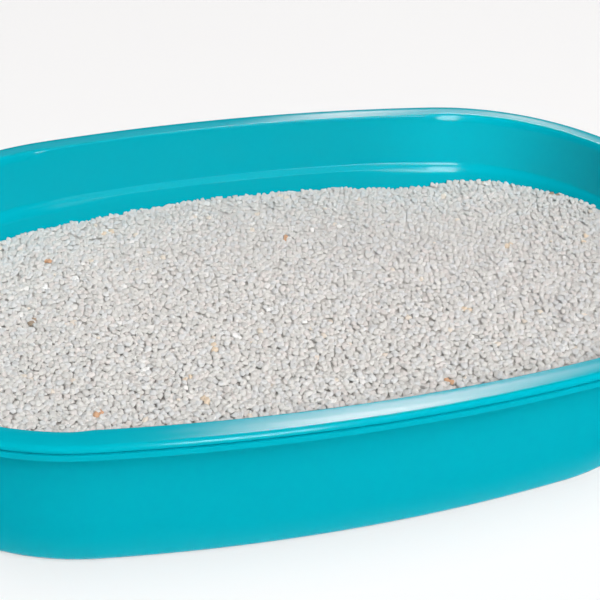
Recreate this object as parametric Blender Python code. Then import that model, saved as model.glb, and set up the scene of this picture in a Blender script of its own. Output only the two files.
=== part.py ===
"""A cat litter tray filled with clay litter, in metres, +Z up.

The tray is one injection-moulded piece: an oval tub with a leaning wall, a flat rim turned down
into a skirt of two tiers, a step inside the wall and a shallow foot band underneath. The litter
is a bed of crushed clay granules that fills the tub to just under the step.
"""

import bmesh
import bpy
import mathutils
import numpy as np

# Plan of the rim's outer edge: an oval of four arcs, and the height over the rim
LENGTH = 0.488
WIDTH = 0.292
SIDE_RADIUS = 0.911
HEIGHT = 0.100

# Wall and floor. A lean is the inset gained for each unit of depth below the rim's top.
WALL = 0.0022
SIDE_LEAN = 0.150
END_LEAN = 0.054
FLOOR_THICKNESS = 0.0024
OUTER_EDGE_RADIUS = 0.0060
INNER_EDGE_RADIUS = 0.0050

# Foot band round the underside, which holds the floor panel clear of the ground
FOOT_WIDTH = 0.0100
FOOT_LIFT = 0.0012

# Step inside the wall: a hollow round, a ramp and a swelling round. It is crisp in the middle of
# the long sides and soft at the ends, each as (hollow radius, swelling radius, ramp's slope).
STEP_DEPTH = 0.0318
STEP_WIDTH = 0.0024
CRISP_STEP = (0.0008, 0.0010, np.radians(37.0))
SOFT_STEP = (0.0040, 0.0150, np.radians(29.1))

# Rim: a flat top with rounded edges
RIM_WIDTH = 0.0118
RIM_OUTER_RADIUS = 0.0023
RIM_INNER_RADIUS = 0.0013
UNDER_RIM_RADIUS = 0.0010

# Skirt: two tiers with a groove between them
UPPER_TIER = 0.0031
GROOVE_WIDTH = 0.0015
GROOVE_DEPTH = 0.0013
LOWER_TIER = 0.0036
SKIRT_THICKNESS = 0.0020
SKIRT_EDGE_RADIUS = 0.0006

# Litter bed: its level below the rim, its rise along the tray and towards the front, the least
# depth of its brim below the rim, and its granules
LITTER_DEPTH = 0.0425
LITTER_CLEARANCE = 0.0003
RISE_ALONG = 0.019
RISE_TO_FRONT = 0.025
LEAST_BRIM_DEPTH = 0.0370
GRANULE_PITCH = 0.0056
GRANULE_STRAY = 0.0015
GRANULE_PEAK = 0.0012
GRANULE_GAP = 0.0018
GAP_SHARE = 0.35
LITTER_SEED = 7

# Unevenness of the bed, each as (x, y, spread along x, spread along y, height)
HOLLOW = (0.108, 0.118, 0.036, 0.045, -0.0042)
BACK_MOUND = (-0.035, 0.120, 0.046, 0.050, 0.0020)
END_MOUND = (0.203, 0.070, 0.030, 0.040, 0.0018)
SHALLOW_DIP = (-0.090, -0.020, 0.070, 0.050, -0.0012)

# Facets: segments in half a side arc, a quarter of the ends, the step, a small round and a floor
# edge
SIDE_SEGMENTS = 4
END_SEGMENTS = 14
STEP_SEGMENTS = 7
ROUND_SEGMENTS = 3
FILLET_SEGMENTS = 2
EDGE_SEGMENTS = 4
SMOOTH_ANGLE = 40

TEAL = (0.0, 0.42, 0.50, 1.0)
CLAY_GREY = (0.60, 0.59, 0.57, 1.0)


def clear_scene():
    for old in list(bpy.data.objects):
        bpy.data.objects.remove(old, do_unlink=True)


def plain_material(name, colour, roughness):
    material = bpy.data.materials.new(name)
    material.use_nodes = True
    shader = material.node_tree.nodes["Principled BSDF"]
    shader.inputs["Base Color"].default_value = colour
    shader.inputs["Roughness"].default_value = roughness
    shader.inputs["Metallic"].default_value = 0.0
    return material


def end_arc():
    """Radius of the end arcs and their centres' distance, where they meet the side arcs smoothly."""
    half_length = LENGTH / 2
    half_width = WIDTH / 2
    left_over = 2 * SIDE_RADIUS * half_width - half_length**2 - half_width**2
    radius = left_over / (2 * (SIDE_RADIUS - half_length))
    return radius, half_length - radius


def mirrored_round(quarter):
    """A quarter of a closed outline, from +X to +Y, carried on round the other three."""
    left = quarter[-2::-1] * (-1, 1)
    upper = np.concatenate([quarter, left])
    lower = upper[-2:0:-1] * (1, -1)
    return np.concatenate([upper, lower])


def oval_stations():
    """Points and outward normals round the rim's outer edge, anticlockwise from the +X end."""
    radius, centre = end_arc()
    drop = SIDE_RADIUS - WIDTH / 2
    join = np.arctan2(drop, centre)
    end_turn = np.linspace(0.0, join, END_SEGMENTS + 1)
    side_turn = np.linspace(join, np.pi / 2, SIDE_SEGMENTS + 1)[1:]
    end = np.stack([centre + radius * np.cos(end_turn), radius * np.sin(end_turn)], axis=1)
    side = np.stack([SIDE_RADIUS * np.cos(side_turn), SIDE_RADIUS * np.sin(side_turn) - drop], axis=1)
    turn = np.concatenate([end_turn, side_turn])
    normals = np.stack([np.cos(turn), np.sin(turn)], axis=1)
    return mirrored_round(np.concatenate([end, side])), mirrored_round(normals)


def rounded(start, corner, end, segments):
    """A quarter round from start to end, in place of the sharp corner between them."""
    start, corner, end = np.array(start), np.array(corner), np.array(end)
    turn = np.linspace(0.0, np.pi / 2, segments + 1)[:, None]
    return start + (corner - start) * np.sin(turn) + (end - corner) * (1 - np.cos(turn))


def outside_section():
    """Foot band, bottom edge and outer wall, as (inset, height), up to the underside of the rim."""
    wall = RIM_WIDTH - WALL
    foot_outer = wall + OUTER_EDGE_RADIUS
    foot_inner = foot_outer + FOOT_WIDTH
    under_rim = HEIGHT - WALL
    fillet = UNDER_RIM_RADIUS
    foot = np.array([(foot_inner + FOOT_LIFT, FOOT_LIFT), (foot_inner, 0.0)])
    bottom_edge = rounded((foot_outer, 0.0), (wall, 0.0), (wall, OUTER_EDGE_RADIUS), EDGE_SEGMENTS)
    below, beside = (wall, under_rim - fillet), (wall - fillet, under_rim)
    corner = rounded(below, (wall, under_rim), beside, FILLET_SEGMENTS)
    return np.concatenate([foot, bottom_edge, corner])


def rim_section():
    """Skirt and rim, as (inset, height), from the skirt's inner face over the top to the wall."""
    under_rim = HEIGHT - WALL
    groove = HEIGHT - UPPER_TIER - GROOVE_WIDTH / 2
    foot = HEIGHT - UPPER_TIER - GROOVE_WIDTH - LOWER_TIER
    top = HEIGHT
    thick, fillet, edge = SKIRT_THICKNESS, UNDER_RIM_RADIUS, SKIRT_EDGE_RADIUS
    outer, inner, width = RIM_OUTER_RADIUS, RIM_INNER_RADIUS, RIM_WIDTH
    beside, below = (thick + fillet, under_rim), (thick, under_rim - fillet)
    parts = [
        rounded(beside, (thick, under_rim), below, FILLET_SEGMENTS),
        rounded((thick, foot + edge), (thick, foot), (thick - edge, foot), FILLET_SEGMENTS),
        rounded((edge, foot), (0.0, foot), (0.0, foot + edge), FILLET_SEGMENTS),
        np.array([(0.0, groove - GROOVE_WIDTH / 2)]),
        np.array([(GROOVE_DEPTH, groove)]),
        np.array([(0.0, groove + GROOVE_WIDTH / 2)]),
        rounded((0.0, top - outer), (0.0, top), (outer, top), ROUND_SEGMENTS),
        rounded((width - inner, top), (width, top), (width, top - inner), ROUND_SEGMENTS),
    ]
    return np.concatenate(parts)


def step_inset(drop, hollow, swell, slope):
    """How far the wall has moved in at each drop below the step's top.

    The two rounds take (hollow + swell) * (1 - cos slope) of the width, and the ramp the rest.
    """
    ramp = (STEP_WIDTH - (hollow + swell) * (1 - np.cos(slope))) / np.sin(slope)
    ramp_top = hollow * np.sin(slope)
    ramp_foot = ramp_top + ramp * np.cos(slope)
    left = np.clip(ramp_foot + swell * np.sin(slope) - drop, 0.0, None)
    on_hollow = hollow - np.sqrt(np.clip(hollow**2 - drop**2, 0.0, None))
    on_ramp = hollow * (1 - np.cos(slope)) + (drop - ramp_top) * np.tan(slope)
    on_swell = STEP_WIDTH - swell + np.sqrt(np.clip(swell**2 - left**2, 0.0, None))
    return np.select([drop < ramp_top, drop < ramp_foot], [on_hollow, on_ramp], on_swell)


def step_rows():
    """The step's rows of points: the crisp section turns into the soft one towards the ends."""
    points, normals = oval_stations()
    side_end = normals[END_SEGMENTS, 0]
    softness = np.clip((normals[:, 0] / side_end) ** 2, 0.0, 1.0)
    hollow, swell, slope = SOFT_STEP
    drops = (hollow + swell) * np.sin(slope) * np.linspace(0.0, 1.0, STEP_SEGMENTS + 1) ** 1.5
    crisp = step_inset(drops, *CRISP_STEP)
    soft = step_inset(drops, *SOFT_STEP)
    insets = RIM_WIDTH + crisp[:, None] + (soft - crisp)[:, None] * softness
    return [outline_at(inset, HEIGHT - STEP_DEPTH - drop, 1.0) for inset, drop in zip(insets, drops)]


def floor_edge(clearance):
    """The rounded edge between wall and floor inside the tub, or a clearance inside it."""
    wall = RIM_WIDTH + STEP_WIDTH + clearance
    floor = FOOT_LIFT + FLOOR_THICKNESS + clearance
    radius = INNER_EDGE_RADIUS
    return rounded((wall, floor + radius), (wall, floor), (wall + radius, floor), EDGE_SEGMENTS)


def outline_at(inset, height, leaning):
    """The oval moved in by the inset and by the wall's lean at the height, as points in space.

    The lean turns evenly from SIDE_LEAN on the long sides to END_LEAN at the ends.
    """
    points, normals = oval_stations()
    lean = SIDE_LEAN * normals[:, 1] ** 2 + END_LEAN * normals[:, 0] ** 2
    moved = points - normals * (inset + leaning * lean * (HEIGHT - height))[:, None]
    return np.column_stack([moved, np.broadcast_to(height, len(moved))])


def ring_faces(stations, rows):
    """Quads between neighbouring rows of a grid whose rows run round the oval."""
    here = np.arange(stations)
    after = (here + 1) % stations
    low = np.arange(rows - 1)[:, None] * stations
    high = low + stations
    quads = np.stack([low + here, low + after, high + after, high + here], axis=2)
    return [tuple(quad) for quad in quads.reshape(-1, 4).tolist()]


def add_object(name, shell, material, collection):
    bmesh.ops.recalc_face_normals(shell, faces=shell.faces)
    mesh = bpy.data.meshes.new(name)
    shell.to_mesh(mesh)
    shell.free()
    mesh.materials.append(material)
    made = bpy.data.objects.new(name, mesh)
    collection.objects.link(made)
    return made


def lofted(rows):
    """A bmesh of the rows of points joined by quads, and its vertices in order."""
    shell = bmesh.new()
    vertices = [shell.verts.new(point) for row in rows for point in row.tolist()]
    for face in ring_faces(len(rows[0]), len(rows)):
        shell.faces.new([vertices[index] for index in face])
    return shell, vertices


def make_tray(collection):
    """The tub's section carried round the oval and closed by the floor panel's two faces."""
    rows = [outline_at(inset, height, 1.0) for inset, height in outside_section()]
    rows += [outline_at(inset, height, 0.0) for inset, height in rim_section()]
    rows += step_rows()
    rows += [outline_at(inset, height, 1.0) for inset, height in floor_edge(0.0)]
    shell, vertices = lofted(rows)
    stations = len(rows[0])
    shell.faces.new(vertices[:stations])
    shell.faces.new(vertices[-stations:])
    plastic = plain_material("moulded_polypropylene", TEAL, 0.28)
    tray = add_object("tray", shell, plastic, collection)
    tray.data.shade_smooth()
    tray.data.set_sharp_from_angle(angle=np.radians(SMOOTH_ANGLE))


def litter_height(x, y):
    """The bed's level: an even slope with the mounds and hollows that pouring leaves."""
    height = HEIGHT - LITTER_DEPTH + RISE_ALONG * x - RISE_TO_FRONT * y
    for at_x, at_y, spread_x, spread_y, rise in (HOLLOW, BACK_MOUND, END_MOUND, SHALLOW_DIP):
        height = height + rise * np.exp(-(((x - at_x) / spread_x) ** 2) - ((y - at_y) / spread_y) ** 2)
    return height


def brim_outline():
    """Where the bed meets the wall: its own level there, held under the step's ramp."""
    inset = RIM_WIDTH + STEP_WIDTH + LITTER_CLEARANCE
    highest = HEIGHT - LEAST_BRIM_DEPTH
    height = np.full(len(oval_stations()[0]), highest)
    for _ in range(3):
        brim = outline_at(inset, height, 1.0)
        height = np.minimum(litter_height(brim[:, 0], brim[:, 1]), highest)
    return outline_at(inset, height, 1.0)


def make_litter(collection):
    """A closed bed that follows the tub's inside, with a field of granules for its top."""
    rows = [outline_at(inset, height, 1.0) for inset, height in floor_edge(LITTER_CLEARANCE)[::-1]]
    rows.append(brim_outline())
    shell, vertices = lofted(rows)
    stations = len(rows[0])
    shell.faces.new(vertices[:stations])
    add_granules(shell, vertices[-stations:])
    add_object("litter", shell, plain_material("clay_granules", CLAY_GREY, 0.95), collection)


def add_granules(shell, brim):
    """Fills the brim with granule-sized facets: most points stand up, and the gaps between sink."""
    outline = np.array([vertex.co.xy[:] for vertex in brim])
    chance = np.random.default_rng(LITTER_SEED)
    spots = np.concatenate([outline, granule_spots(outline, chance)])
    edge = [list(range(len(outline)))]
    flat = [mathutils.Vector(spot) for spot in spots]
    placed, _, triangles, sources, _, _ = mathutils.geometry.delaunay_2d_cdt(flat, [], edge, 1, 1e-7)
    top = []
    for spot, source in zip(placed, sources):
        if source[0] < len(outline):
            top.append(brim[source[0]])
            continue
        relief = chance.uniform(0, GRANULE_PEAK)
        if chance.random() < GAP_SHARE:
            relief = -chance.uniform(0, GRANULE_GAP)
        top.append(shell.verts.new((spot.x, spot.y, litter_height(spot.x, spot.y) + relief)))
    for triangle in triangles:
        shell.faces.new([top[index] for index in triangle])


def granule_spots(outline, chance):
    """A close-packed grid inside the outline, with each point strayed a little."""
    half_x, half_y = np.abs(outline).max(axis=0)
    across = np.arange(-half_x, half_x, GRANULE_PITCH)
    along = np.arange(-half_y, half_y, GRANULE_PITCH * np.sqrt(3) / 2)
    grid_x, grid_y = np.meshgrid(across, along)
    grid_x = grid_x + (np.arange(len(along)) % 2)[:, None] * GRANULE_PITCH / 2
    spots = np.stack([grid_x.ravel(), grid_y.ravel()], axis=1)
    spots = spots + chance.uniform(-GRANULE_STRAY, GRANULE_STRAY, spots.shape)
    edge = np.roll(outline, -1, axis=0) - outline
    outward = np.stack([edge[:, 1], -edge[:, 0]], axis=1)
    outward = outward / np.linalg.norm(outward, axis=1, keepdims=True)
    beyond = spots @ outward.T - np.sum(outline * outward, axis=1)
    return spots[beyond.max(axis=1) < -GRANULE_PITCH / 2]


clear_scene()
litter_tray = bpy.data.collections.new("litter_tray")
bpy.context.scene.collection.children.link(litter_tray)
make_tray(litter_tray)
make_litter(litter_tray)
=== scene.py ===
"""The looks of a cat litter tray filled with clay litter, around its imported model.

Lengths are in metres, in the model's own frame: +X along the tray, +Y to its far side, +Z up,
and the tray stands on Z = 0.
"""

import math

import bmesh
import bpy
import numpy as np
from mathutils import Matrix, Vector


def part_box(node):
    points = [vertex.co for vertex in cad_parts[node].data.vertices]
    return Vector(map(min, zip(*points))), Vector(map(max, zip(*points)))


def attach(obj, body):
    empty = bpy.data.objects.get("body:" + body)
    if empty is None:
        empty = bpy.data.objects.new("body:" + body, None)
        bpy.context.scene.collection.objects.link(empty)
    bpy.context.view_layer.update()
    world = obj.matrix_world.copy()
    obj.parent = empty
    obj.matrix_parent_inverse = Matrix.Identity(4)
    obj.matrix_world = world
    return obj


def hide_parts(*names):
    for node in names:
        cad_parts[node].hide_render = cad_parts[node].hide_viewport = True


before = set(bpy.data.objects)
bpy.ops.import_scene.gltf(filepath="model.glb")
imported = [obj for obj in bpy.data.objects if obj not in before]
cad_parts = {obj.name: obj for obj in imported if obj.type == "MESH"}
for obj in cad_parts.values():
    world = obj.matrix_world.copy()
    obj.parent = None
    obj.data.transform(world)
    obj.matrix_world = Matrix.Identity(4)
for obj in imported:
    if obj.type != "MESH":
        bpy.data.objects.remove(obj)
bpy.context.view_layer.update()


# Camera
# A short telephoto lens held above one long side, to the left of the tray's middle. The picture
# is square, so the lens's angle is the same both ways, and the camera is tilted a little.
CAMERA_PLACE = (-0.14274, -0.50880, 0.44633)
CAMERA_YAW = math.radians(16.12)
CAMERA_PITCH = math.radians(36.13)
CAMERA_ROLL = math.radians(2.54)
FOCAL_LENGTH_MM = 70.42
SENSOR_MM = 36.0

lens = bpy.data.cameras.new("camera")
lens.lens = FOCAL_LENGTH_MM
lens.sensor_width = SENSOR_MM
camera = bpy.data.objects.new("camera", lens)
bpy.context.scene.collection.objects.link(camera)
aim = Matrix.Rotation(-CAMERA_YAW, 4, "Z") @ Matrix.Rotation(math.pi / 2 - CAMERA_PITCH, 4, "X")
aim = aim @ Matrix.Rotation(CAMERA_ROLL, 4, "Z")
camera.matrix_world = Matrix.Translation(CAMERA_PLACE) @ aim
bpy.context.scene.camera = camera
bpy.context.scene.view_settings.view_transform = "Standard"


# Light
# A white room, brighter towards +X, and one large soft key light in front, half way up. Six
# softboxes over and behind the tray and one in front only lay their mirror images on the plastic.
# A small mirror card lights the right part of the far wall a little more.
ROOM_LIGHT = 0.30
ROOM_SLOPE = 0.90
MIRROR_DIM = 0.99
LAMP_TARGET = Vector((0.0, 0.0, 0.08))
CARD_TARGET = Vector((0.148, 0.116, 0.085))
CARD_SPREAD = math.radians(22)
NEUTRAL = (1.0, 1.0, 1.0)

# Warm softboxes keep the highlights on the turquoise plastic near white.
WARM = (1.0, 0.72, 0.66)


def node(tree, kind, inputs, **settings):
    """Adds a node, sets its properties, and gives its inputs numbers, colours or sockets."""
    made = tree.nodes.new(kind)
    for name, value in settings.items():
        setattr(made, name, value)
    for name, value in inputs.items():
        if isinstance(value, bpy.types.NodeSocket):
            tree.links.new(value, made.inputs[name])
        else:
            made.inputs[name].default_value = value
    return made


def direction(azimuth, elevation):
    """The unit vector at an azimuth, in degrees from +Y towards +X, and an elevation in degrees."""
    turned, raised = math.radians(azimuth), math.radians(elevation)
    level = math.cos(raised)
    return Vector((math.sin(turned) * level, math.cos(turned) * level, math.sin(raised)))


# The camera sees the room white. The tray is lit by its graded light and hardly mirrors it.
room = bpy.data.worlds.new("room")
room.use_nodes = True
bpy.context.scene.world = room
tree = room.node_tree
rays = node(tree, "ShaderNodeLightPath", {})
dim = node(tree, "ShaderNodeMath", {
    0: rays.outputs["Is Glossy Ray"],
    1: -MIRROR_DIM,
    2: 1.0,
}, operation="MULTIPLY_ADD")
place = node(tree, "ShaderNodeTexCoord", {})
sides = node(tree, "ShaderNodeSeparateXYZ", {"Vector": place.outputs["Generated"]})
graded = node(tree, "ShaderNodeMath", {
    0: sides.outputs["X"],
    1: ROOM_LIGHT * ROOM_SLOPE,
    2: ROOM_LIGHT,
}, operation="MULTIPLY_ADD")
felt = node(tree, "ShaderNodeMath", {0: dim.outputs[0], 1: graded.outputs[0]}, operation="MULTIPLY")
shown = node(tree, "ShaderNodeMix", {0: rays.outputs["Is Camera Ray"], 2: felt.outputs[0], 3: 1.0})
air = tree.nodes["Background"]
air.inputs["Color"].default_value = (1.0, 1.0, 1.0, 1.0)
tree.links.new(shown.outputs[0], air.inputs["Strength"])


def softbox(name, azimuth, elevation, distance, size, power, colour,
            fade=0.5, mirrored=True, target=LAMP_TARGET):
    """A rectangular lamp that faces its target from an azimuth and an elevation, in degrees.

    It either is only mirrored in the tray or only lights it. Its glow falls evenly to nothing at
    its left and right edges, over the share of its width that fade gives. Power is in watts.
    """
    lamp = bpy.data.lights.new(name, "AREA")
    lamp.shape = "RECTANGLE"
    lamp.size, lamp.size_y = size
    lamp.energy = power
    lamp.color = colour
    lamp.use_nodes = True
    tree = lamp.node_tree
    spot = node(tree, "ShaderNodeNewGeometry", {})
    across = node(tree, "ShaderNodeSeparateXYZ", {"Vector": spot.outputs["Parametric"]})
    off = node(tree, "ShaderNodeMath", {0: across.outputs["X"], 1: 0.5}, operation="SUBTRACT")
    off = node(tree, "ShaderNodeMath", {0: off.outputs[0]}, operation="ABSOLUTE")
    glow = node(tree, "ShaderNodeMath", {
        0: off.outputs[0],
        1: -1 / fade,
        2: 0.5 / fade,
    }, operation="MULTIPLY_ADD", use_clamp=True)
    tree.links.new(glow.outputs[0], tree.nodes["Emission"].inputs["Strength"])
    away = direction(azimuth, elevation)
    stand = bpy.data.objects.new(name, lamp)
    bpy.context.scene.collection.objects.link(stand)
    faced = away.to_track_quat("Z", "Y").to_matrix().to_4x4()
    stand.matrix_world = Matrix.Translation(target + away * distance) @ faced
    stand.visible_diffuse = not mirrored
    stand.visible_glossy = mirrored
    stand.visible_camera = False
    return lamp


softbox("softbox_key", 169, 50, 4.0, (2.0, 2.0), 166, NEUTRAL, fade=0.01, mirrored=False)
softbox("softbox_overhead", 24.8, 54, 3.0, (1.16, 0.84), 144, WARM, fade=0.4)
softbox("softbox_high_behind", 24.8, 42, 3.0, (1.49, 0.58), 77, WARM, fade=0.4)
softbox("softbox_behind", 24.5, 28.5, 3.0, (1.28, 0.66), 12.3, WARM, fade=0.25)
softbox("softbox_behind_left", 18.6, 28.5, 3.0, (0.52, 0.66), 11.2, WARM)
softbox("softbox_behind_right", 30.0, 28.5, 3.0, (0.40, 0.66), 4.8, WARM)
softbox("softbox_faint_left", -2.0, 30, 3.0, (1.40, 0.70), 2.3, WARM, fade=0.1)
softbox("softbox_front", 177.5, 17, 2.61, (0.74, 1.55), 106.0, NEUTRAL, fade=0.06)
card = softbox(
    "mirror_card", 186, 18, 0.30, (0.10, 0.03), 0.0065, NEUTRAL,
    fade=0.3, mirrored=False, target=CARD_TARGET,
)
card.spread = CARD_SPREAD


# Tray
# One injection moulding in polypropylene. Its section is carried round an oval of four arcs: a
# leaning wall with a step inside, a flat rim turned down into a skirt, and a foot band below.
tray_low, tray_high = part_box("tray")
LENGTH = tray_high.x - tray_low.x
WIDTH = tray_high.y - tray_low.y
HEIGHT = tray_high.z - tray_low.z
SIDE_RADIUS = 0.911
WALL = 0.0022
SIDE_LEAN = 0.150
END_LEAN = 0.054
FLOOR_THICKNESS = 0.0024
OUTER_EDGE_RADIUS = 0.0060
INNER_EDGE_RADIUS = 0.0050
FOOT_WIDTH = 0.0100
FOOT_LIFT = 0.0012
STEP_DEPTH = 0.0318
STEP_WIDTH = 0.0024
STEP_ROWS = 36
RIM_WIDTH = 0.0118
RIM_CROWN = 0.00016
RIM_OUTER_RADIUS = 0.0023
RIM_INNER_RADIUS = 0.0010
LIP_SWELL_RADIUS = 0.0120
LIP_SWELL_SLOPE = math.radians(25)
LIP_SWELL_START = 0.06
LIP_ROWS_DEPTH = 0.006
UNDER_RIM_RADIUS = 0.0010
UPPER_TIER = 0.0031
GROOVE_WIDTH = 0.0015
GROOVE_DEPTH = 0.0027
GROOVE_ROUND_START = 0.4 * GROOVE_DEPTH
LOWER_TIER = 0.0036
SKIRT_THICKNESS = 0.0030
SKIRT_EDGE_RADIUS = 0.0006
END_STATIONS = 120
SIDE_STATIONS = 56
SHARP_ANGLE = math.radians(50)

# A step's hollow radius, its swelling radius and the slope of the ramp between them.
CRISP_STEP = (0.0004, 0.0006, math.radians(37))
SOFT_STEP = (0.0052, 0.0138, math.radians(29.1))

# The end arcs pass through the oval's ends and meet the side arcs with no kink.
END_RADIUS = (SIDE_RADIUS * WIDTH - (LENGTH / 2) ** 2 - (WIDTH / 2) ** 2) / (2 * SIDE_RADIUS - LENGTH)
END_CENTRE = LENGTH / 2 - END_RADIUS
SIDE_CENTRE = SIDE_RADIUS - WIDTH / 2
JOIN = math.atan2(SIDE_CENTRE, END_CENTRE)


def oval():
    """The rim's outer edge and its outward normals, anticlockwise, as two (stations, 2) arrays.

    A point is its arc's centre plus the arc's radius along the normal: the end arcs' centres lie
    on the X axis, and the side arcs' centres on the Y axis, past the other side.
    """
    end = np.linspace(-JOIN, JOIN, END_STATIONS, endpoint=False)
    side = np.linspace(JOIN, math.pi - JOIN, SIDE_STATIONS, endpoint=False)
    turn = np.concatenate([end, side, end + math.pi, side + math.pi])
    normal = np.stack([np.cos(turn), np.sin(turn)], axis=1)
    on_end = np.concatenate([np.ones(END_STATIONS), np.zeros(SIDE_STATIONS)] * 2)[:, None]
    middle = np.sign(normal) * np.where(on_end, (END_CENTRE, 0.0), (0.0, -SIDE_CENTRE))
    return middle + normal * np.where(on_end, END_RADIUS, SIDE_RADIUS), normal


def carried_round(section, leaning):
    """A section's points (inset, height) carried round the oval, as a (points, stations, 3) grid.

    A section that changes on its way has a pair of its own for each station. Where it leans, the
    inset grows with the depth below the rim, by SIDE_LEAN across the tray and END_LEAN along it,
    and in between with the squares of the normal's parts.
    """
    edge, normal = oval()
    section = np.array(section)
    if section.ndim == 2:
        section = section[:, None]
    lean = (SIDE_LEAN * normal[:, 1] ** 2 + END_LEAN * normal[:, 0] ** 2) * leaning
    depth = section[..., 0] + lean * (HEIGHT - section[..., 1])
    height = np.broadcast_to(section[..., 1], depth.shape)
    return np.concatenate([edge - normal * depth[..., None], height[..., None]], axis=2)


def rounded(start, corner, end, segments=5):
    """A quarter round from start to end in place of the sharp corner between them.

    The sine of its turn carries it from the start towards the corner, and what the cosine lacks
    of one carries it from there towards the end.
    """
    start, corner, end = np.array(start), np.array(corner), np.array(end)
    turn = np.linspace(0.0, math.pi / 2, segments + 1)[:, None]
    return start + (corner - start) * np.sin(turn) + (end - corner) * (1 - np.cos(turn))


def straight(start, end, shares=(0.02, 0.25, 0.5, 0.75, 0.98)):
    """Points along a straight stretch; those near its ends keep its shading flat."""
    start, end = np.array(start), np.array(end)
    return start + (end - start) * np.array(shares)[:, None]


def closed_body(name, rows):
    """A solid from a grid of rows (rows, stations, 3), joined round by quads.

    The first and the last row are each closed by a fan to their middle. Rows run up the outside
    and down the inside, so the faces point outwards.
    """
    count, stations = rows.shape[:2]
    points = np.concatenate([rows.reshape(-1, 3), rows[[0, -1]].mean(axis=1)])
    here = np.arange(stations)
    after = np.roll(here, -1)
    low = np.arange(count - 1)[:, None] * stations
    quads = np.stack([low + here, low + after, low + stations + after, low + stations + here], axis=2)
    middle = np.full(stations, count * stations)
    last = (count - 1) * stations
    under = np.stack([after, here, middle], axis=1)
    over = np.stack([last + here, last + after, middle + 1], axis=1)
    faces = quads.reshape(-1, 4).tolist() + under.tolist() + over.tolist()
    mesh = bpy.data.meshes.new(name)
    mesh.from_pydata(points.tolist(), [], faces)
    mesh.shade_smooth()
    mesh.set_sharp_from_angle(angle=SHARP_ANGLE)
    made = bpy.data.objects.new(name, mesh)
    bpy.context.scene.collection.objects.link(made)
    return made


wall_line = RIM_WIDTH - WALL
foot_outer = wall_line + OUTER_EDGE_RADIUS
foot_inner = foot_outer + FOOT_WIDTH
under_rim = HEIGHT - WALL
fillet = UNDER_RIM_RADIUS
outside = np.concatenate([
    [(foot_inner + FOOT_LIFT, FOOT_LIFT), (foot_inner, 0.0)],
    rounded((foot_outer, 0.0), (wall_line, 0.0), (wall_line, OUTER_EDGE_RADIUS), 8),
    straight((wall_line, OUTER_EDGE_RADIUS), (wall_line, under_rim - fillet)),
    rounded((wall_line, under_rim - fillet), (wall_line, under_rim), (wall_line - fillet, under_rim)),
])

thick, edge = SKIRT_THICKNESS, SKIRT_EDGE_RADIUS
groove_top = HEIGHT - UPPER_TIER
groove_foot = groove_top - GROOVE_WIDTH
skirt_foot = groove_foot - LOWER_TIER
outer, inner = RIM_OUTER_RADIUS, RIM_INNER_RADIUS
shoulder = HEIGHT - RIM_CROWN
groove_lower = (
    (GROOVE_ROUND_START, groove_foot),
    (GROOVE_DEPTH, groove_foot),
    (GROOVE_DEPTH, groove_foot + GROOVE_WIDTH / 2),
)
groove_upper = (
    (GROOVE_DEPTH, groove_top - GROOVE_WIDTH / 2),
    (GROOVE_DEPTH, groove_top),
    (GROOVE_ROUND_START, groove_top),
)
rim = np.concatenate([
    rounded((thick + fillet, under_rim), (thick, under_rim), (thick, under_rim - fillet)),
    rounded((thick, skirt_foot + edge), (thick, skirt_foot), (thick - edge, skirt_foot)),
    rounded((edge, skirt_foot), (0.0, skirt_foot), (0.0, skirt_foot + edge)),
    straight((0.0, skirt_foot + edge), (0.0, groove_foot), (0.1, 0.9, 1.0)),
    rounded(*groove_lower),
    rounded(*groove_upper)[1:],
    straight((0.0, groove_top), (0.0, shoulder - outer), (0.0, 0.1, 0.9)),
    rounded((0.0, shoulder - outer), (0.0, shoulder), (outer, shoulder), 10)[:-1],
])


def step_inset(drop, hollow, swell, slope):
    """How far the wall has moved in at each drop below the step's top.

    A hollow round, a straight ramp and a swelling round follow one another. The ramp leans by the
    slope, so the two rounds take (hollow + swell) * (1 - cos slope) of the step's width.
    """
    ramp = (STEP_WIDTH - (hollow + swell) * (1 - math.cos(slope))) / math.sin(slope)
    ramp_top = hollow * math.sin(slope)
    ramp_foot = ramp_top + ramp * math.cos(slope)
    left = np.clip(ramp_foot + swell * math.sin(slope) - drop, 0, None)
    on_hollow = hollow - np.sqrt(np.clip(hollow**2 - drop**2, 0, None))
    on_ramp = hollow * (1 - math.cos(slope)) + (drop - ramp_top) * math.tan(slope)
    on_swell = STEP_WIDTH - swell + np.sqrt(np.clip(swell**2 - left**2, 0, None))
    return np.select([drop < ramp_top, drop < ramp_foot], [on_hollow, on_ramp], on_swell)


edge_normals = oval()[1]
softness = np.clip((edge_normals[:, 0] / math.cos(JOIN)) ** 2, 0, 1)
inner_floor = FOOT_LIFT + FLOOR_THICKNESS
step_top = HEIGHT - STEP_DEPTH
lower_line = RIM_WIDTH + STEP_WIDTH

# Above the step: the rim's slightly crowned top, its rounded inner edge and the wall below it.
across = np.linspace(0.0, 1.0, 9)
crown_inset = outer + (RIM_WIDTH - inner - outer) * across
crown_height = HEIGHT - RIM_CROWN * (2 * across - 1) ** 2
lip_edge = (RIM_WIDTH, shoulder - inner)
lip_foot = (RIM_WIDTH, shoulder - LIP_ROWS_DEPTH)
above = np.concatenate([
    np.stack([crown_inset, crown_height], axis=1),
    rounded((RIM_WIDTH - inner, shoulder), (RIM_WIDTH, shoulder), lip_edge, 10)[1:],
    straight(lip_edge, lip_foot, np.linspace(0.06, 1.0, 16)),
    straight(lip_foot, (RIM_WIDTH, step_top), (0.25, 0.5, 0.75, 0.98)),
])

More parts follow.
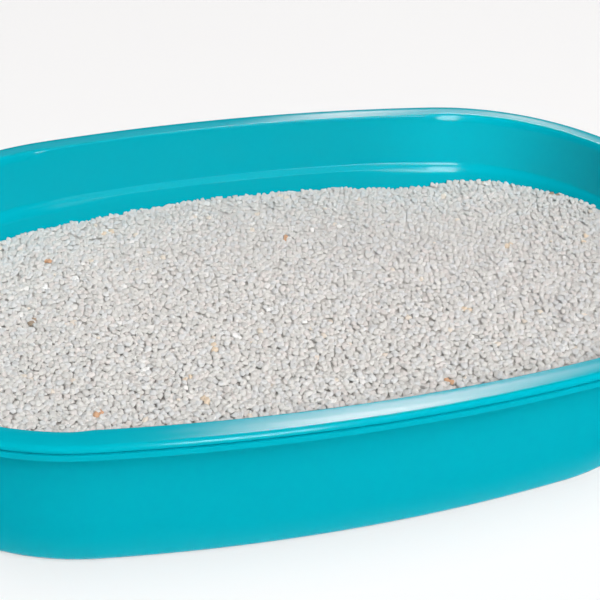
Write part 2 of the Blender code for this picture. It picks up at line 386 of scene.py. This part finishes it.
# Round the tray's ends that edge swells out of the wall on a wider round, which makes it softer.
reach = LIP_SWELL_RADIUS * math.sin(LIP_SWELL_SLOPE)
left = np.clip(reach - (shoulder - above[:, 1]), 0, reach)
swell = LIP_SWELL_RADIUS - np.sqrt(LIP_SWELL_RADIUS**2 - left**2)
swell = swell * np.clip(above[:, 0] / (RIM_WIDTH - inner), 0, 1)
lip_softness = np.clip((np.abs(edge_normals[:, 0]) - math.cos(JOIN)) / LIP_SWELL_START, 0, 1)
soft_inset = above[:, :1] - swell[:, None] * lip_softness
above = np.stack([soft_inset, np.broadcast_to(above[:, 1:], soft_inset.shape)], axis=2)

# The step is crisp in the middle of the long sides and softens towards the ends.
drops = np.linspace(0.0, (SOFT_STEP[0] + SOFT_STEP[1]) * math.sin(SOFT_STEP[2]), STEP_ROWS)
step_foot = step_top - drops[-1]
crisp, soft = step_inset(drops, *CRISP_STEP)[:, None], step_inset(drops, *SOFT_STEP)[:, None]
blend = (1 - softness) * crisp + softness * soft
step = np.stack([RIM_WIDTH + blend, np.broadcast_to(step_top - drops[:, None], blend.shape)], axis=2)
wall_foot = (lower_line, inner_floor + INNER_EDGE_RADIUS)
floor_edge = (lower_line + INNER_EDGE_RADIUS, inner_floor)
below = np.concatenate([
    straight((lower_line, step_foot), wall_foot, (0.02, 0.5, 0.99)),
    rounded(wall_foot, (lower_line, inner_floor), floor_edge, 8),
])

tub = closed_body("moulded_tray", np.concatenate([
    carried_round(outside, 1),
    carried_round(rim, 0),
    carried_round(above, np.where(above[:, :1, 1] < shoulder, 1, 0)),
    carried_round(step, 1),
    carried_round(below, 1),
]))


def linear(hex_colour):
    """The linear RGBA of an sRGB hex colour, each channel through the sRGB curve."""
    channels = np.array([int(hex_colour[at:at + 2], 16) for at in (1, 3, 5)]) / 255
    bent = np.where(channels <= 0.04045, channels / 12.92, ((channels + 0.055) / 1.055) ** 2.4)
    return (*bent.tolist(), 1.0)


def material(name):
    """A new material with an empty node tree, that tree, and its output node."""
    made = bpy.data.materials.new(name)
    made.use_nodes = True
    made.node_tree.nodes.clear()
    return made, made.node_tree, made.node_tree.nodes.new("ShaderNodeOutputMaterial")


# Polypropylene that takes its skin from a polished mould: one even colour, a soft gloss that
# mirrors the softboxes, and a fine grain, drawn as coarse as it needs to show. The pictured gloss
# is weak, so the IOR is below the 1.49 of the plastic.
TRAY_TURQUOISE = "#00A8BA"
PLASTIC_IOR = 1.20
PLASTIC_ROUGHNESS = 0.11
MOULD_GRAIN_MM = 0.7
MOULD_GRAIN_STRENGTH = 0.03
MOULD_GRAIN_HEIGHT = 0.0002

plastic, tree, output = material("moulded_polypropylene")
place = node(tree, "ShaderNodeTexCoord", {})
grain = node(tree, "ShaderNodeTexNoise", {
    "Vector": place.outputs["Object"],
    "Scale": 1000 / MOULD_GRAIN_MM,
    "Detail": 2.0,
})
relief = node(tree, "ShaderNodeBump", {
    "Strength": MOULD_GRAIN_STRENGTH,
    "Distance": MOULD_GRAIN_HEIGHT,
    "Height": grain.outputs[0],
})
shell = node(tree, "ShaderNodeBsdfPrincipled", {
    "Base Color": linear(TRAY_TURQUOISE),
    "Roughness": PLASTIC_ROUGHNESS,
    "IOR": PLASTIC_IOR,
    "Normal": relief.outputs[0],
})
tree.links.new(shell.outputs[0], output.inputs["Surface"])
tub.data.materials.append(plastic)
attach(tub, "root")
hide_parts("tray")


# Floor
# A sheet of white photographic board, made as rings round the tray's foot. The camera sees it a
# little whiter than it is lit, as an overexposed ground is; beside the tray that white is painted
# down as a contact shade. Its mirror image is held back away from the foot, because the pictured
# plastic hardly shows it.
FLOOR_WHITE = "#F7F3F2"

# Each ring's distance from the foot, the white that the camera sees there, painted down near the
# foot as a contact shade, how far that white covers the lit board, more so a few centimetres out,
# and how much of the board's mirror image is held back.
FLOOR_RINGS = (
    (0.000, 0.84, 0.60, 0.00),
    (0.004, 0.87, 0.60, 0.40),
    (0.008, 0.90, 0.60, 0.80),
    (0.014, 0.94, 0.60, MIRROR_DIM),
    (0.025, 0.99, 0.68, MIRROR_DIM),
    (0.036, 1.00, 0.85, MIRROR_DIM),
    (0.100, 1.00, 0.75, MIRROR_DIM),
    (0.250, 1.00, 0.60, MIRROR_DIM),
    (6.000, 1.00, 0.60, MIRROR_DIM),
)

# Matt white board: it has no gloss of its own and shows the tray's soft shade, and its rings add a
# painted contact shade beside the foot.
board, tree, output = material("white_board")
# The rings give the seen white, painted down beside the foot as a contact shade, its lift and its mirror
# share.
white = node(tree, "ShaderNodeAttribute", {}, attribute_name="seen_white_with_painted_shade")
lifted = node(tree, "ShaderNodeAttribute", {}, attribute_name="lifted")
unmirrored = node(tree, "ShaderNodeAttribute", {}, attribute_name="unmirrored")
lit = node(tree, "ShaderNodeBsdfDiffuse", {"Color": linear(FLOOR_WHITE)})
glow = node(tree, "ShaderNodeEmission", {"Color": (1.0, 1.0, 1.0, 1.0), "Strength": white.outputs["Fac"]})
rays = node(tree, "ShaderNodeLightPath", {})
lift = node(tree, "ShaderNodeMath", {
    0: rays.outputs["Is Camera Ray"],
    1: lifted.outputs["Fac"],
}, operation="MULTIPLY")
seen = node(tree, "ShaderNodeMixShader", {0: lift.outputs[0], 1: lit.outputs[0], 2: glow.outputs[0]})
dark = node(tree, "ShaderNodeEmission", {"Strength": 0.0})
dim = node(tree, "ShaderNodeMath", {
    0: rays.outputs["Is Glossy Ray"],
    1: unmirrored.outputs["Fac"],
}, operation="MULTIPLY")
mirrored = node(tree, "ShaderNodeMixShader", {0: dim.outputs[0], 1: seen.outputs[0], 2: dark.outputs[0]})
tree.links.new(mirrored.outputs[0], output.inputs["Surface"])

ring_values = np.array(FLOOR_RINGS)
rings = carried_round([(wall_line - distance, 0.0) for distance in ring_values[:, 0]], 1)
ring_count, stations = rings.shape[:2]
here = np.arange(stations)
after = np.roll(here, -1)
inner_ring = np.arange(ring_count - 1)[:, None] * stations
outer_ring = inner_ring + stations
bands = [inner_ring + here, outer_ring + here, outer_ring + after, inner_ring + after]
bands = np.stack(bands, axis=2)
mesh = bpy.data.meshes.new("floor")
mesh.from_pydata(rings.reshape(-1, 3).tolist(), [], bands.reshape(-1, 4).tolist() + [here.tolist()])
for name, column in (("seen_white_with_painted_shade", 1), ("lifted", 2), ("unmirrored", 3)):
    values = mesh.attributes.new(name, "FLOAT", "POINT")
    values.data.foreach_set("value", np.repeat(ring_values[:, column], stations))
floor = bpy.data.objects.new("floor", mesh)
bpy.context.scene.collection.objects.link(floor)
mesh.materials.append(board)


# Litter bed
# The settled mass of clay granules below the loose top layers. It fills the tub from the floor
# up and follows its inside with a hair's gap.
LITTER_CLEARANCE = 0.0003
LITTER_DEPTH = 0.0420
RISE_ALONG = 0.019
RISE_TO_FRONT = 0.025
LOOSE_DEPTH = (0.0038, 0.0023)
BLEND_SPAN = (-0.35, 0.35)
BRIM_PASSES = 3
TOP_RINGS = 25
INNERMOST_RING = 0.04

# Each mound's or hollow's place, its spread along and across the tray, and its rise.
HOLLOW = (0.108, 0.118, 0.036, 0.045, -0.0042)
BACK_MOUND = (-0.035, 0.120, 0.046, 0.050, 0.0020)
END_MOUND = (0.208, 0.066, 0.026, 0.036, 0.0026)
BACK_RIGHT_MOUND = (0.156, 0.110, 0.030, 0.030, 0.0020)
LEFT_MOUND = (-0.235, 0.030, 0.035, 0.060, 0.0022)
SHALLOW_DIP = (-0.090, -0.020, 0.070, 0.050, -0.0012)
MOUNDS = (HOLLOW, BACK_MOUND, END_MOUND, BACK_RIGHT_MOUND, LEFT_MOUND, SHALLOW_DIP)


def litter_level(x, y):
    """The bed's top: an even slope plus mounds and hollows, each a bell of its own spreads."""
    level = HEIGHT - LITTER_DEPTH + RISE_ALONG * x - RISE_TO_FRONT * y
    for at_x, at_y, spread_x, spread_y, rise in MOUNDS:
        off_x, off_y = (x - at_x) / spread_x, (y - at_y) / spread_y
        level = level + rise * np.exp(-(off_x**2) - off_y**2)
    return level


def from_front_left(x, y, values):
    """One of two values at the tray's front left, the other at its back right, blended between."""
    return np.interp(x / LENGTH + y / WIDTH, BLEND_SPAN, values)


bed_line = lower_line + LITTER_CLEARANCE
bed_foot = inner_floor + LITTER_CLEARANCE
bed_side = rounded(
    (bed_line + INNER_EDGE_RADIUS, bed_foot),
    (bed_line, bed_foot),
    (bed_line, bed_foot + INNER_EDGE_RADIUS),
)

# The brim lies where the level meets the leaning wall, which a few passes find.
brim_height = np.full(len(edge_normals), HEIGHT - LITTER_DEPTH)
for _ in range(BRIM_PASSES):
    brim_line = np.stack([np.full_like(brim_height, bed_line), brim_height], axis=1)
    brim = carried_round(brim_line[None], 1)
    brim_x, brim_y = brim[0, :, 0], brim[0, :, 1]
    brim_height = litter_level(brim_x, brim_y) - from_front_left(brim_x, brim_y, LOOSE_DEPTH)
side_rows = np.concatenate([carried_round(bed_side, 1), brim])
shrink = np.linspace(1.0, INNERMOST_RING, TOP_RINGS)[:, None]
top_x, top_y = shrink * side_rows[-1, :, 0], shrink * side_rows[-1, :, 1]
top_height = litter_level(top_x, top_y) - from_front_left(top_x, top_y, LOOSE_DEPTH)
top_rows = np.stack([top_x, top_y, top_height], axis=2)
bed = closed_body("settled_litter", np.concatenate([side_rows, top_rows]))

# Dry crushed clay, porous and unglazed: quite dull, and pitted finer than a picture shows, so the
# pits are drawn as coarse as they need to show.
CLAY_ROUGHNESS = 0.95
CLAY_IOR = 1.3
PIT_MM = 0.9
PIT_STRENGTH = 0.40
PIT_DEPTH = 0.0002

# The bed's colour is painted shade for the deep gaps between the crumbs: darker than the clay,
# and darkest at the front left, where the loose layer lies deepest.
DEEP_GAP_PAINTED_SHADE = "#A8A49F"
SHALLOW_GAP_PAINTED_SHADE = "#D2CFCB"

# Each piece gives its colour as a point attribute: the crumbs their clay's own colours, the bed its
# painted gap shade.
clay, tree, output = material("crushed_clay")
tint = node(tree, "ShaderNodeAttribute", {}, attribute_name="clay_colour_and_gap_shade")
place = node(tree, "ShaderNodeTexCoord", {})
pits = node(tree, "ShaderNodeTexNoise", {
    "Vector": place.outputs["Object"],
    "Scale": 1000 / PIT_MM,
    "Detail": 2.0,
})
rough_face = node(tree, "ShaderNodeBump", {
    "Strength": PIT_STRENGTH,
    "Distance": PIT_DEPTH,
    "Height": pits.outputs[0],
})
stone = node(tree, "ShaderNodeBsdfPrincipled", {
    "Base Color": tint.outputs["Color"],
    "Roughness": CLAY_ROUGHNESS,
    "IOR": CLAY_IOR,
    "Normal": rough_face.outputs[0],
})
tree.links.new(stone.outputs[0], output.inputs["Surface"])

# The bed's points take the painted gap shade, blended from the front left to the back right.
layer = bed.data.color_attributes.new(name="clay_colour_and_gap_shade", type="FLOAT_COLOR", domain="POINT")
bed_points = np.array([vertex.co for vertex in bed.data.vertices])
shade = from_front_left(bed_points[:, 0], bed_points[:, 1], (0.0, 1.0))[:, None]
gap_shades = np.array(linear(DEEP_GAP_PAINTED_SHADE)) * (1 - shade) + np.array(linear(SHALLOW_GAP_PAINTED_SHADE)) * shade
layer.data.foreach_set("color", gap_shades.ravel())
bed.data.materials.append(clay)
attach(bed, "root")
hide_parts("litter")


# Loose granules
# Crushed and sieved clay, poured in: even, angular crumbs of 3.1 to 4.4 mm with a few finer ones
# between them. They are light grey, but for a few in rusty tan, cream, white or brown.
POUR_SEED = 11

# Each sieve step's smallest and largest grain, and how many are poured.
SIEVE_STEPS = (
    (0.0031, 0.0044, 40000),
    (0.0016, 0.0024, 6000),
)

# The height field's cell, and how a grain comes to rest: the spots that it tries and how far off
# they lie, how near the wall it may go, its dome's height and how deep it sinks between others.
CELL = 0.0005
ROLL_SPOTS = 6
ROLL_REACH = 1.3
WALL_SHARE = 0.85
DOME = 0.60
SINK = 0.72

# How unevenly the grains' peaks stand, at the front left and at the back right.
PEAK_SPREAD = (0.0014, 0.0007)

# A spot of a grain is buried below this depth, and a grain stays while this share of it shows.
BURIED_DEPTH = 0.0003
SHOWN_SHARE = 0.06

chance = np.random.default_rng(POUR_SEED)


def wall_room(x, y, height):
    """How far a point at a height is from the tub's inner face, inwards positive.

    The point's distance to the oval is taken from its own arc's centre, less the inset there.
    """
    across, along = np.abs(y), np.abs(x)
    on_end = np.arctan2(across + SIDE_CENTRE, along) < JOIN
    from_x = np.where(on_end, along - END_CENTRE, along)
    from_y = np.where(on_end, across, across + SIDE_CENTRE)
    reach = np.hypot(from_x, from_y)
    lean = SIDE_LEAN * (from_y / reach) ** 2 + END_LEAN * (from_x / reach) ** 2
    room_at_rim = np.where(on_end, END_RADIUS, SIDE_RADIUS) - reach - lower_line
    return room_at_rim - lean * (HEIGHT - height)


def pour(radii):
    """Drops the granules one by one on a height field and returns where each came to rest.

    Each looks for the lowest of a few spots near where it falls, rests on the highest point under
    it, sinks in a little, and raises the field to its own domed top. One that would stand
    above the bed's level is left out, and so is one that the later ones buried.
    """
    half = np.array([LENGTH / 2, WIDTH / 2])
    size = np.ceil(2 * half / CELL).astype(int) + 1
    line_x, line_y = [np.arange(count) * CELL - end for count, end in zip(size, half)]
    grid_x, grid_y = np.meshgrid(line_x, line_y, indexing="ij")
    level = litter_level(grid_x, grid_y)
    room = wall_room(grid_x, grid_y, level)
    field = level - from_front_left(grid_x, grid_y, LOOSE_DEPTH)
    drops = chance.uniform(-half, half, (len(radii), 2))
    strays = chance.normal(0.0, 1.0, (len(radii), ROLL_SPOTS, 2)) * radii[:, None, None] * ROLL_REACH
    spots = np.round((drops[:, None, :] + strays + half) / CELL).astype(int)
    peaks = chance.uniform(-0.5, 0.5, len(radii)) * from_front_left(*drops.T, PEAK_SPREAD)
    reach = np.ceil(radii / CELL).astype(int)
    lines = {cells: np.arange(-cells, cells + 1) * CELL for cells in set(reach.tolist())}
    spans = {cells: line[:, None] ** 2 + line[None, :] ** 2 for cells, line in lines.items()}
    rested = []
    for which, radius in enumerate(radii):
        cells = reach[which]
        near = np.clip(spots[which], cells, size - 1 - cells)
        near = near[room[near[:, 0], near[:, 1]] > radius * WALL_SHARE]
        if not len(near):
            continue
        i, j = near[np.argmin(field[near[:, 0], near[:, 1]])]
        dome = np.sqrt(np.clip(1 - spans[cells] / radius**2, 0, None)) * radius * DOME
        under = field[i - cells:i + cells + 1, j - cells:j + cells + 1]
        touching = np.where(dome > 0, under + dome, -1)
        rest = (1 - SINK) * touching.max() + SINK * touching[dome > 0].mean()
        if rest + radius * DOME > level[i, j] + peaks[which]:
            continue
        np.maximum(under, np.where(dome > 0, rest + dome, -1), out=under)
        rested.append((which, i, j, rest, dome))
    kept = []
    for which, i, j, rest, dome in rested:
        cells = reach[which]
        under = field[i - cells:i + cells + 1, j - cells:j + cells + 1]
        shown = (dome > 0) & (rest + dome > under - BURIED_DEPTH)
        if shown.sum() > SHOWN_SHARE * (dome > 0).sum():
            kept.append((which, i * CELL - half[0], j * CELL - half[1], rest))
    kept = np.array(kept)
    return kept[:, 0].astype(int), kept[:, 1:]


# The crumb shapes: their corners, how many there are, and how their corners are moved.
CORNERS = 12
SHAPES = 40
JOSTLE = 0.22
DRAWN = (0.78, 1.08)

# How a crumb is pressed flat, stretched and tilted, and how far it fills out its place.
PRESS = 1.8
STRETCH_LEAST = (1.0, 0.88, 0.50)
STRETCH_MOST = (1.18, 1.05, 0.70)
TILT = 0.09
FULLNESS = 1.12

# How much of a crumb's own normals its shading keeps, at the front left and at the back right,
# and how much of those are its facets' normals.
EDGE_SHARE = (0.71, 0.32)
FACET_SHARE = 0.5


def broken_shapes():
    """Crumb shapes: the hulls of points spread over a ball, then each point drawn in or out.

    The points start on a golden-angle spiral and are jostled. A hull of n points on a ball has
    2n - 4 triangles, so every shape fits the same (shapes, points, 3) and (shapes, faces, 3) arrays.
    """
    steps = np.arange(CORNERS) + 0.5
    height = 1 - 2 * steps / CORNERS
    turn = steps * math.pi * (3 - math.sqrt(5))
    ring = np.sqrt(1 - height**2)
    spiral = np.stack([ring * np.cos(turn), ring * np.sin(turn), height], axis=1)
    points, faces = [], []
    for _ in range(SHAPES):
        jostled = spiral + chance.normal(0.0, JOSTLE, spiral.shape)
        jostled = jostled / np.linalg.norm(jostled, axis=1, keepdims=True)
        hull = bmesh.new()
        for point in jostled:
            hull.verts.new(point)
        bmesh.ops.convex_hull(hull, input=hull.verts)
        hull.verts.index_update()
        faces.append([[vertex.index for vertex in face.verts] for face in hull.faces])
        hull.free()
        points.append(jostled * chance.uniform(*DRAWN, (CORNERS, 1)))
    return np.array(points), np.array(faces)


def crumbs(cut, radii):
    """Crumbs cut to the given shapes and radii, as (crumbs, points, 3) about their middles.

    Each is turned at random, by the QR factors of a random matrix, then pressed flat by the tanh
    of its height, stretched and sheared, as one that lies on its broad side with a little tilt.
    """
    count = len(radii)
    factors, _ = np.linalg.qr(chance.normal(size=(count, 3, 3)))
    turned = factors * np.sign(np.linalg.det(factors))[:, None, None]
    points = np.einsum("cij,cpj->cpi", turned, cut)
    points[:, :, 2] = np.tanh(PRESS * points[:, :, 2])
    points = points * chance.uniform(STRETCH_LEAST, STRETCH_MOST, (count, 3))[:, None, :]
    turn = chance.uniform(0.0, 2 * math.pi, count)
    flat = np.stack([np.cos(turn), -np.sin(turn), np.sin(turn), np.cos(turn)], axis=1).reshape(-1, 2, 2)
    points[:, :, :2] = np.einsum("cij,cpj->cpi", flat, points[:, :, :2])
    points[:, :, 2] += np.einsum("cj,cpj->cp", chance.normal(0.0, TILT, (count, 2)), points[:, :, :2])
    return points * radii[:, None, None] * FULLNESS


def soft_normals(shapes, faces, shares):
    """Shading normals for each face corner, as (crumbs, faces, 3 corners, 3).

    Half facet normal and half round normal, then drawn upwards: that shades a crumb as softly as
    light that scatters in the porous clay does, and leaves its true shape to cast the shadows.
    """
    which = np.arange(len(shapes))[:, None, None]
    corners = shapes[which, faces]
    first, second, third = corners[:, :, 0], corners[:, :, 1], corners[:, :, 2]
    facets = np.cross(second - first, third - first)
    facets = facets / np.maximum(np.linalg.norm(facets, axis=2, keepdims=True), 1e-12)
    facets = facets * np.sign(np.sum(facets * corners.mean(axis=2), axis=2, keepdims=True))
    rounds = corners / np.linalg.norm(corners, axis=3, keepdims=True)
    shares = shares[:, None, None, None]
    blended = (FACET_SHARE * facets[:, :, None] + (1 - FACET_SHARE) * rounds) * shares
    blended = blended + np.array([0.0, 0.0, 1.0]) * (1 - shares)
    return blended / np.linalg.norm(blended, axis=3, keepdims=True)


# The clay's own colours, each with its share of the crumbs.
CLAY_KINDS = (
    ("#D5D2CE", 0.48),
    ("#D4D3D2", 0.26),
    ("#D7D1CD", 0.16),
    ("#CCC9C6", 0.06),
    ("#E5E2DF", 0.010),
    ("#DFD4C7", 0.007),
)
TONE_SPREAD = 0.035
TONE_RANGE = (0.85, 1.1)
LIGHTEST = 0.97

# The few odd crumbs that show: rusty tan, cream, white and brown, each at its places.
ODD_GRAINS = {
    "#D0A483": ((0.061, -0.083), (-0.116, -0.067), (0.014, 0.069), (-0.128, 0.077)),
    "#E0CDB6": (
        (-0.090, 0.100), (0.191, 0.025), (0.143, 0.029), (-0.050, -0.026), (-0.067, -0.048),
        (-0.062, -0.067), (0.093, -0.026),
    ),
    "#EFEDEB": (
        (-0.018, -0.001), (-0.036, -0.021), (-0.088, -0.038), (0.006, -0.021), (-0.116, 0.055),
        (0.136, 0.010), (-0.133, 0.051),
    ),
    "#A2917F": ((-0.141, 0.019), (0.195, 0.079)),
}
ODD_CLUMP = 2
ODD_RADII = (0.0015, 0.0020)
ODD_DEPTH = 0.0022


def grain_colours(count):
    """A colour for each granule: one of the clay's kinds, a little lighter or darker."""
    colours = np.array([linear(colour) for colour, _ in CLAY_KINDS])
    shares = np.array([share for _, share in CLAY_KINDS])
    kind = chance.choice(len(CLAY_KINDS), count, p=shares / shares.sum())
    picked = colours[kind]
    picked[:, :3] *= chance.normal(1.0, TONE_SPREAD, (count, 1)).clip(*TONE_RANGE)
    return picked.clip(0, LIGHTEST)


radii = np.concatenate([chance.uniform(low, high, count) / 2 for low, high, count in SIEVE_STEPS])
which, places = pour(radii)
shape_points, shape_faces = broken_shapes()
cuts = chance.integers(0, SHAPES, len(which))
shapes = crumbs(shape_points[cuts], radii[which])
edge_shares = from_front_left(places[:, 0], places[:, 1], EDGE_SHARE)
corner_normals = soft_normals(shapes, shape_faces[cuts], edge_shares)
shapes = shapes + places[:, None, :]

# An odd grain is a clump of two crumbs of middle size that lie on top.
colours = grain_colours(len(which))
on_top = places[:, 2] > litter_level(places[:, 0], places[:, 1]) - ODD_DEPTH
odd_size = (radii[which] > ODD_RADII[0]) & (radii[which] < ODD_RADII[1])
for colour, spots in ODD_GRAINS.items():
    for x, y in spots:
        away = np.hypot(places[:, 0] - x, places[:, 1] - y) + np.where(odd_size & on_top, 0, 1)
        colours[np.argsort(away)[:ODD_CLUMP]] = linear(colour)

# The crumbs are shared out along the tray among a few meshes, to keep each one small.
PORTIONS = 5
for number, band in enumerate(np.array_split(np.argsort(places[:, 0]), PORTIONS)):
    mesh = bpy.data.meshes.new(f"loose_litter_{number + 1}")
    faces = shape_faces[cuts[band]] + np.arange(len(band))[:, None, None] * CORNERS
    mesh.from_pydata(shapes[band].reshape(-1, 3).tolist(), [], faces.reshape(-1, 3).tolist())
    layer = mesh.color_attributes.new(name="clay_colour_and_gap_shade", type="FLOAT_COLOR", domain="POINT")
    layer.data.foreach_set("color", np.repeat(colours[band], CORNERS, axis=0).ravel())
    mesh.materials.append(clay)
    mesh.shade_smooth()
    mesh.normals_split_custom_set(corner_normals[band].reshape(-1, 3).tolist())
    portion = bpy.data.objects.new(f"loose_litter_{number + 1}", mesh)
    bpy.context.scene.collection.objects.link(portion)
    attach(portion, "root")
    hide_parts("litter")
